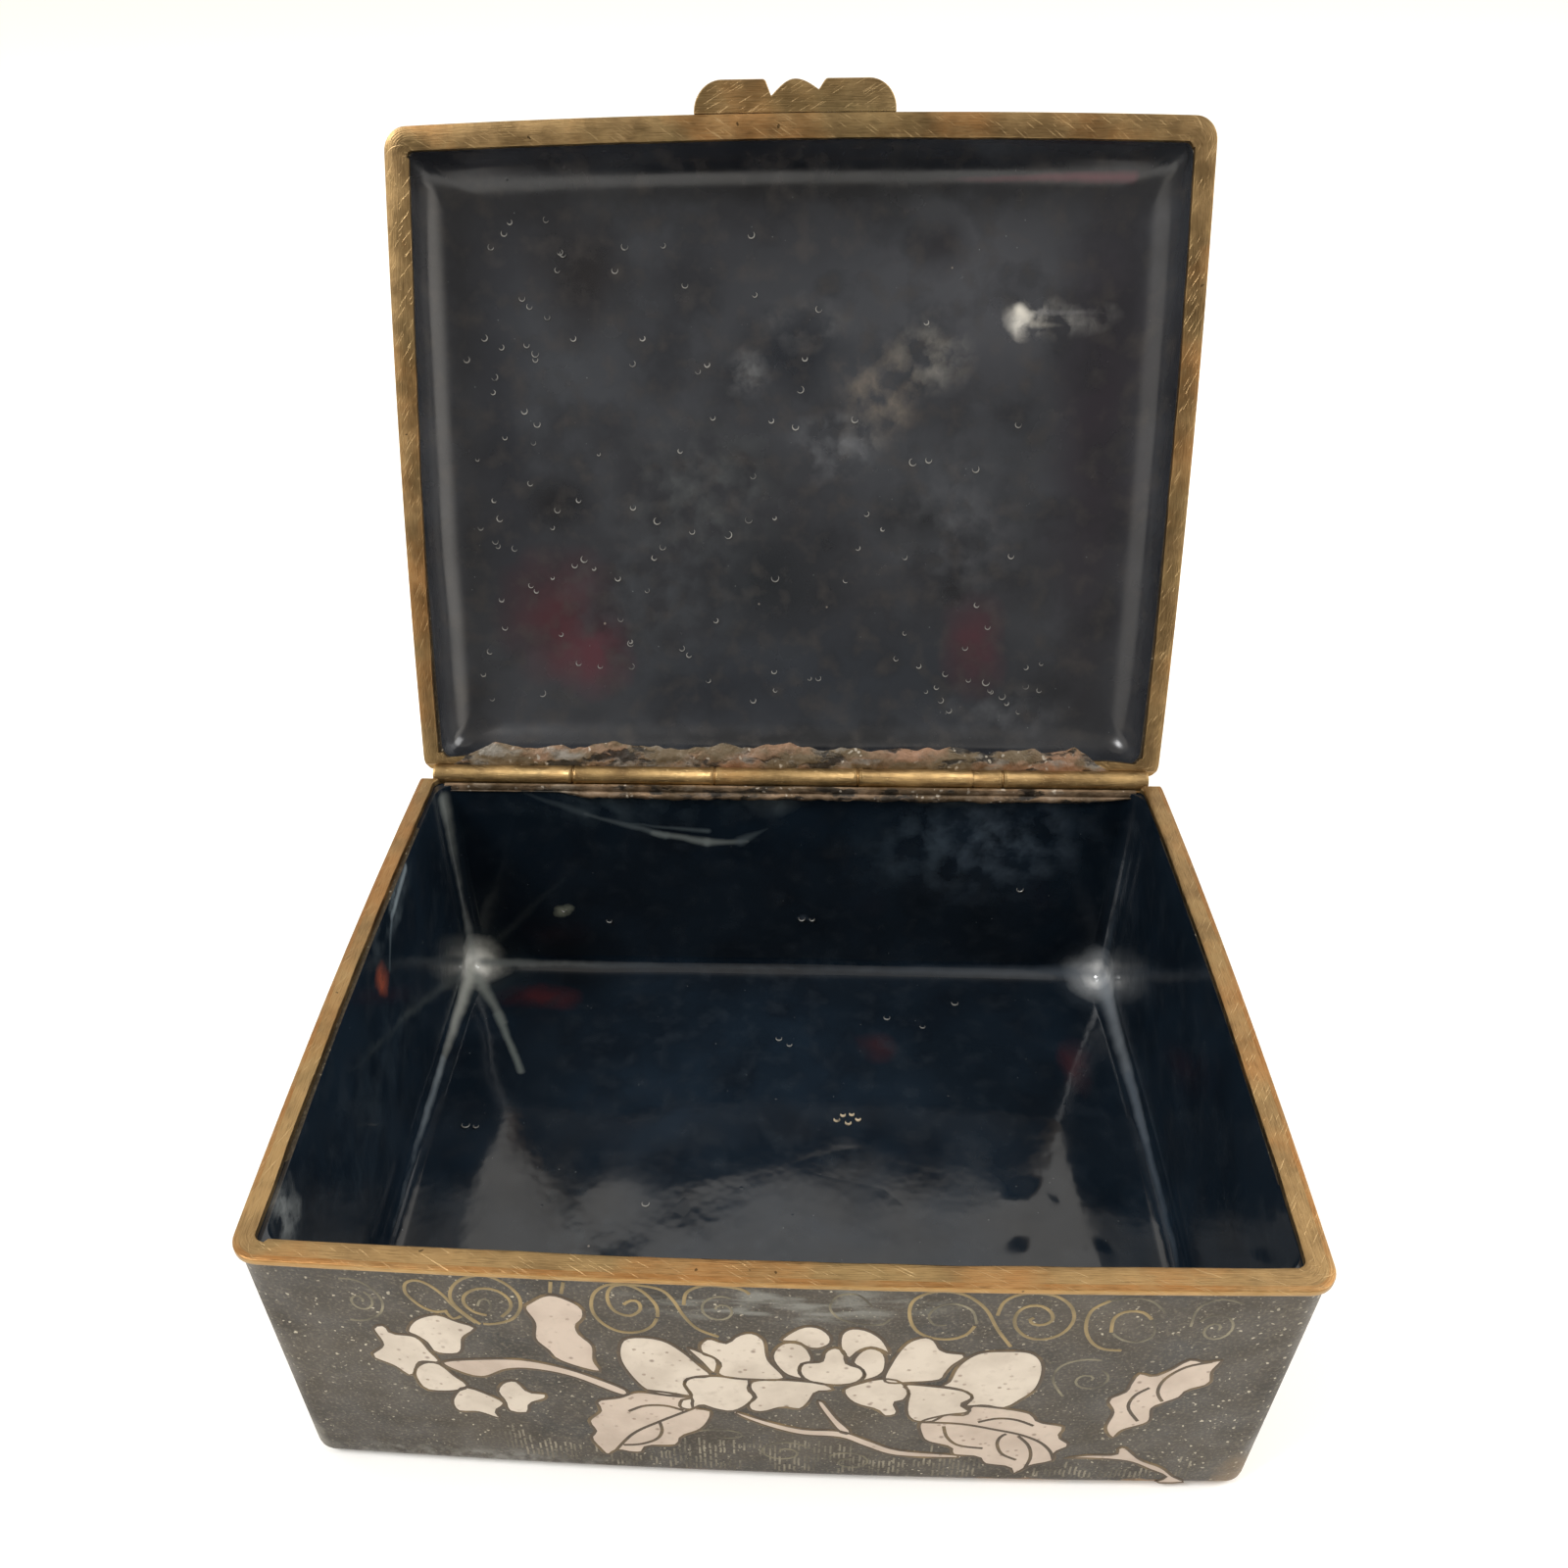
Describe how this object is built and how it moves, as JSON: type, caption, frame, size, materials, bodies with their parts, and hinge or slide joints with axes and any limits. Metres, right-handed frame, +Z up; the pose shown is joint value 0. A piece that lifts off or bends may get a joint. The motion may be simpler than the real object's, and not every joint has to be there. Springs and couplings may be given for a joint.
{
  "type": "cloisonne enamel box",
  "caption": "Rectangular enamelled metal box with brass rims, a shallow hinged lid leaning open and a small notched thumb tab.",
  "frame": {"origin": "centre of the flat underside of the tray", "axes": "+Z up, +X to the right and -Y towards the front with the thumb tab; the hinge runs along X at the back"},
  "size_m": [0.1212, 0.1423, 0.135],
  "materials": {
    "tray_enamel": "satin",
    "lid_enamel": "gloss",
    "inlay_enamel": "satin",
    "brass": "satin",
    "hinge_brass": "satin"
  },
  "bodies": {
    "box": {"box_body": "tray_enamel", "box_rim": "brass", "box_knuckle_left": "hinge_brass", "box_knuckle_right": "hinge_brass", "hinge_pin": "hinge_brass"},
    "lid": {"lid_body": "lid_enamel", "lid_rim": "brass", "thumb_tab": "brass", "lid_knuckle_left": "hinge_brass", "lid_knuckle_middle": "hinge_brass", "lid_knuckle_right": "hinge_brass"}
  },
  "joints": [
    {"name": "lid_hinge", "type": "hinge", "parent": "box", "child": "lid", "pos_m": [0, 0.0475, 0.0425], "axis": [1, 0, 0], "range_deg": [0, 113]}
  ]
}
